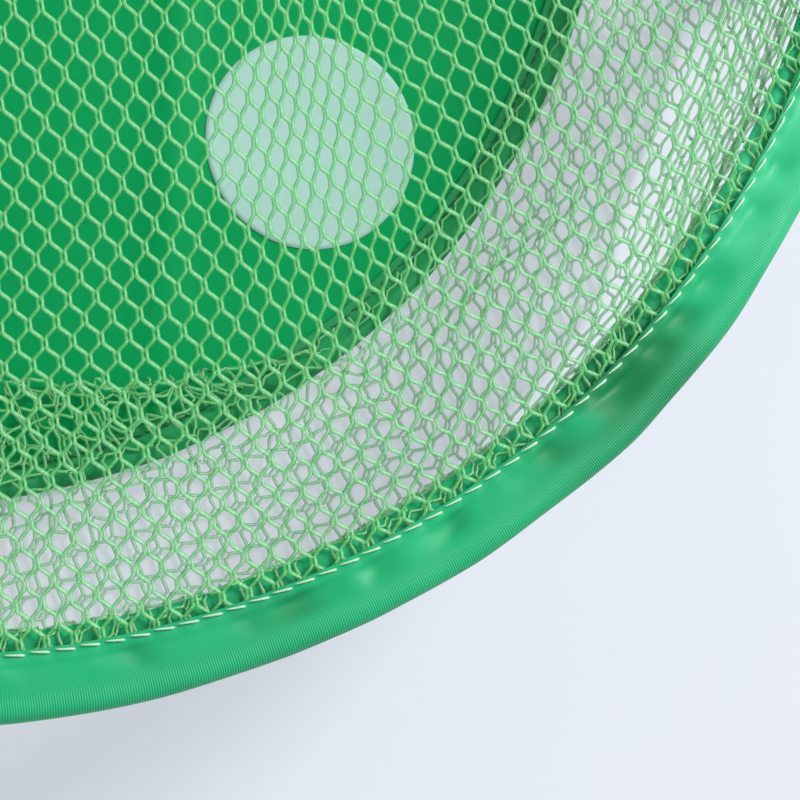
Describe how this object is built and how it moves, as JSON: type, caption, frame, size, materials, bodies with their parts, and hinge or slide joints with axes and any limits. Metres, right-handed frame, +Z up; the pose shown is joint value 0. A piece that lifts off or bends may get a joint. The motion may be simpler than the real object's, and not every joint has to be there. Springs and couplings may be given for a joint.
{
  "type": "roundnet set",
  "caption": "Small foldable roundnet: hexagonal mesh net in a bound green ring on folding legs, with a slack mesh skirt down to a green ground panel with pale round spots.",
  "frame": {"origin": "centre of the ring, on the floor under it", "axes": "+Z up along the ring's axis, from the ground panel to the net; the floor is z = 0"},
  "size_m": [0.4616, 0.4616, 0.081],
  "materials": {
    "binding_tape": "satin",
    "net_yarn": "satin",
    "panel_cloth": "satin",
    "thread": "satin",
    "spot_cloth": "matte",
    "spring_wire": "satin",
    "plated_steel": "satin",
    "clamp_plastic": "matte",
    "leg_tube": "satin",
    "foot_rubber": "matte"
  },
  "bodies": {
    "rim": {"rim_hoop": "spring_wire", "rim_ferrule": "plated_steel", "rim_binding": "binding_tape", "rim_stitching": "thread", "top_net": "net_yarn", "skirt_net": "net_yarn", "clamp_screws": "plated_steel", "clamp_cap_1": "clamp_plastic", "clamp_cap_2": "clamp_plastic", "clamp_cap_3": "clamp_plastic", "clamp_cap_4": "clamp_plastic", "leg_fork_1": "clamp_plastic", "leg_fork_2": "clamp_plastic", "leg_fork_3": "clamp_plastic", "leg_fork_4": "clamp_plastic", "hinge_pin_1": "plated_steel", "hinge_pin_2": "plated_steel", "hinge_pin_3": "plated_steel", "hinge_pin_4": "plated_steel"},
    "base": {"base_hoop": "spring_wire", "base_ferrule": "plated_steel", "base_binding": "binding_tape", "base_stitching": "thread", "ground_panel": "panel_cloth", "spot_1": "spot_cloth", "spot_2": "spot_cloth", "spot_3": "spot_cloth", "spot_4": "spot_cloth"},
    "leg_1": {"leg_knuckle_1": "clamp_plastic", "leg_tube_1": "leg_tube", "leg_foot_1": "foot_rubber"},
    "leg_2": {"leg_knuckle_2": "clamp_plastic", "leg_tube_2": "leg_tube", "leg_foot_2": "foot_rubber"},
    "leg_3": {"leg_knuckle_3": "clamp_plastic", "leg_tube_3": "leg_tube", "leg_foot_3": "foot_rubber"},
    "leg_4": {"leg_knuckle_4": "clamp_plastic", "leg_tube_4": "leg_tube", "leg_foot_4": "foot_rubber"}
  },
  "joints": [
    {"name": "base_lift", "type": "slide", "parent": "rim", "child": "base", "axis": [0, 0, 1], "range_m": [0, 0.06], "deforming": ["skirt_net"]},
    {"name": "leg_fold_1", "type": "hinge", "parent": "rim", "child": "leg_1", "pos_m": [0.21762, -0.03642, 0.06345], "axis": [-0.9521, 0.3057, 0], "range_deg": [0, 95]},
    {"name": "leg_fold_2", "type": "hinge", "parent": "rim", "child": "leg_2", "pos_m": [-0.03642, -0.21762, 0.06345], "axis": [0.3057, 0.9521, 0], "range_deg": [0, 95]},
    {"name": "leg_fold_3", "type": "hinge", "parent": "rim", "child": "leg_3", "pos_m": [-0.21762, 0.03642, 0.06345], "axis": [0.9521, -0.3057, 0], "range_deg": [0, 95]},
    {"name": "leg_fold_4", "type": "hinge", "parent": "rim", "child": "leg_4", "pos_m": [0.03642, 0.21762, 0.06345], "axis": [-0.3057, -0.9521, 0], "range_deg": [0, 95]}
  ]
}
